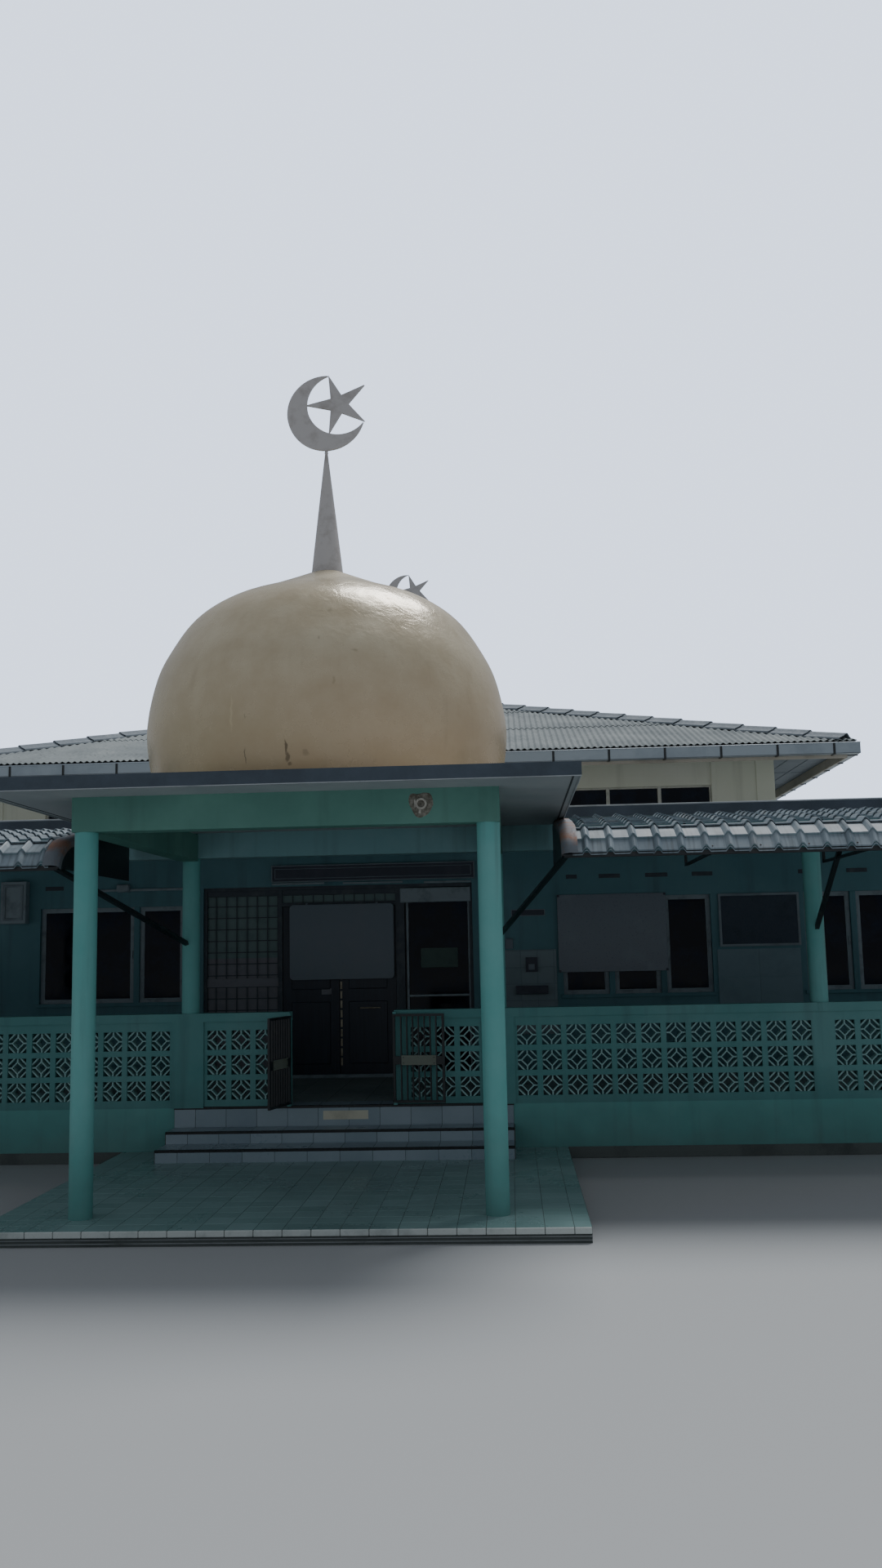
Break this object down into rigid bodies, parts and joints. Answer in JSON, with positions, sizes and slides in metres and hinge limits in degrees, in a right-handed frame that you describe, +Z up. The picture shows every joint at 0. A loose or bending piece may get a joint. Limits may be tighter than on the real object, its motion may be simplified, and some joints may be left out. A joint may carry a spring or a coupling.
{
  "type": "mosque building",
  "caption": "Single-storey mosque with a raised hipped hall, a veranda behind pierced block parapets, and an entrance porch under a gold dome.",
  "frame": {"origin": "at ground level under the middle of the building's bounding box", "axes": "+X to the right as one faces the porch, +Y from the porch towards the rear wall, +Z up"},
  "size_m": [16.7, 17.26, 8.3213],
  "materials": {
    "teal_masonry": "painted",
    "roof_slab": "painted",
    "cream_masonry": "painted",
    "apron_tile": "semi-gloss",
    "step_tile": "gloss",
    "gold_paint": "satin",
    "bronze_paint": "satin",
    "cement_sheet": "weathered",
    "gutter_metal": "satin",
    "ceiling_board": "matte",
    "awning_metal": "weathered",
    "strut_steel": "satin",
    "black_steel": "satin",
    "door_timber": "painted",
    "dark_glass": "gloss",
    "frame_steel": "satin",
    "board_white": "semi-gloss",
    "board_dark": "matte"
  },
  "bodies": {
    "building": {"awning_end_panel_left": "strut_steel", "awning_end_panel_right": "strut_steel", "awning_frame_left": "strut_steel", "awning_frame_right": "strut_steel", "awning_sheet_left": "awning_metal", "awning_sheet_right": "awning_metal", "black_board": "board_dark", "dome": "gold_paint", "dome_crescent_star": "bronze_paint", "dome_spire": "bronze_paint", "entrance_frame": "frame_steel", "entrance_glass": "dark_glass", "entrance_step_lower": "step_tile", "entrance_step_upper": "step_tile", "flat_roof_slab": "roof_slab", "floor_plinth": "teal_masonry", "front_glass_left": "dark_glass", "front_glass_right": "dark_glass", "front_wall_left": "teal_masonry", "front_wall_over_entrance": "teal_masonry", "front_wall_right": "teal_masonry", "gate_parapet_left": "teal_masonry", "gate_parapet_right": "teal_masonry", "hall_ceiling": "ceiling_board", "hall_crescent_star": "bronze_paint", "hall_fascia": "ceiling_board", "hall_gutter": "gutter_metal", "hall_roof": "cement_sheet", "hall_spire": "bronze_paint", "notice_board": "board_white", "porch_apron": "apron_tile", "porch_beam": "teal_masonry", "porch_front_column_left": "teal_masonry", "porch_front_column_right": "teal_masonry", "porch_rear_column_left": "teal_masonry", "porch_rear_column_right": "teal_masonry", "porch_roof_slab": "roof_slab", "rear_glass": "dark_glass", "rear_wall": "teal_masonry", "side_glass_left": "dark_glass", "side_glass_right": "dark_glass", "side_wall_left": "teal_masonry", "side_wall_right": "teal_masonry", "sign_board": "board_dark", "upper_glass": "dark_glass", "upper_wall": "cream_masonry", "veranda_beam": "teal_masonry", "veranda_column_left_inner": "teal_masonry", "veranda_column_left_outer": "teal_masonry", "veranda_column_right_inner": "teal_masonry", "veranda_column_right_outer": "teal_masonry", "veranda_parapet_left": "teal_masonry", "veranda_parapet_right": "teal_masonry", "white_board": "board_white"},
    "gate_left": {"gate_leaf_left": "black_steel"},
    "gate_right": {"gate_leaf_right": "black_steel"},
    "door_left": {"door_leaf_left": "door_timber"},
    "door_right": {"door_leaf_right": "door_timber"}
  },
  "joints": [
    {"name": "gate_left_hinge", "type": "hinge", "parent": "building", "child": "gate_left", "pos_m": [-0.525, -4.91, 0.56], "axis": [0, 0, 1], "range_deg": [-69, 103]},
    {"name": "gate_right_hinge", "type": "hinge", "parent": "building", "child": "gate_right", "pos_m": [0.525, -4.91, 0.56], "axis": [0, 0, 1], "range_deg": [-172, 0]},
    {"name": "door_left_hinge", "type": "hinge", "parent": "building", "child": "door_left", "pos_m": [-1.1075, -1.972, 0.565], "axis": [0, 0, 1], "range_deg": [0, 90]},
    {"name": "door_right_hinge", "type": "hinge", "parent": "building", "child": "door_right", "pos_m": [0.2975, -1.972, 0.565], "axis": [0, 0, 1], "range_deg": [-90, 0]}
  ]
}
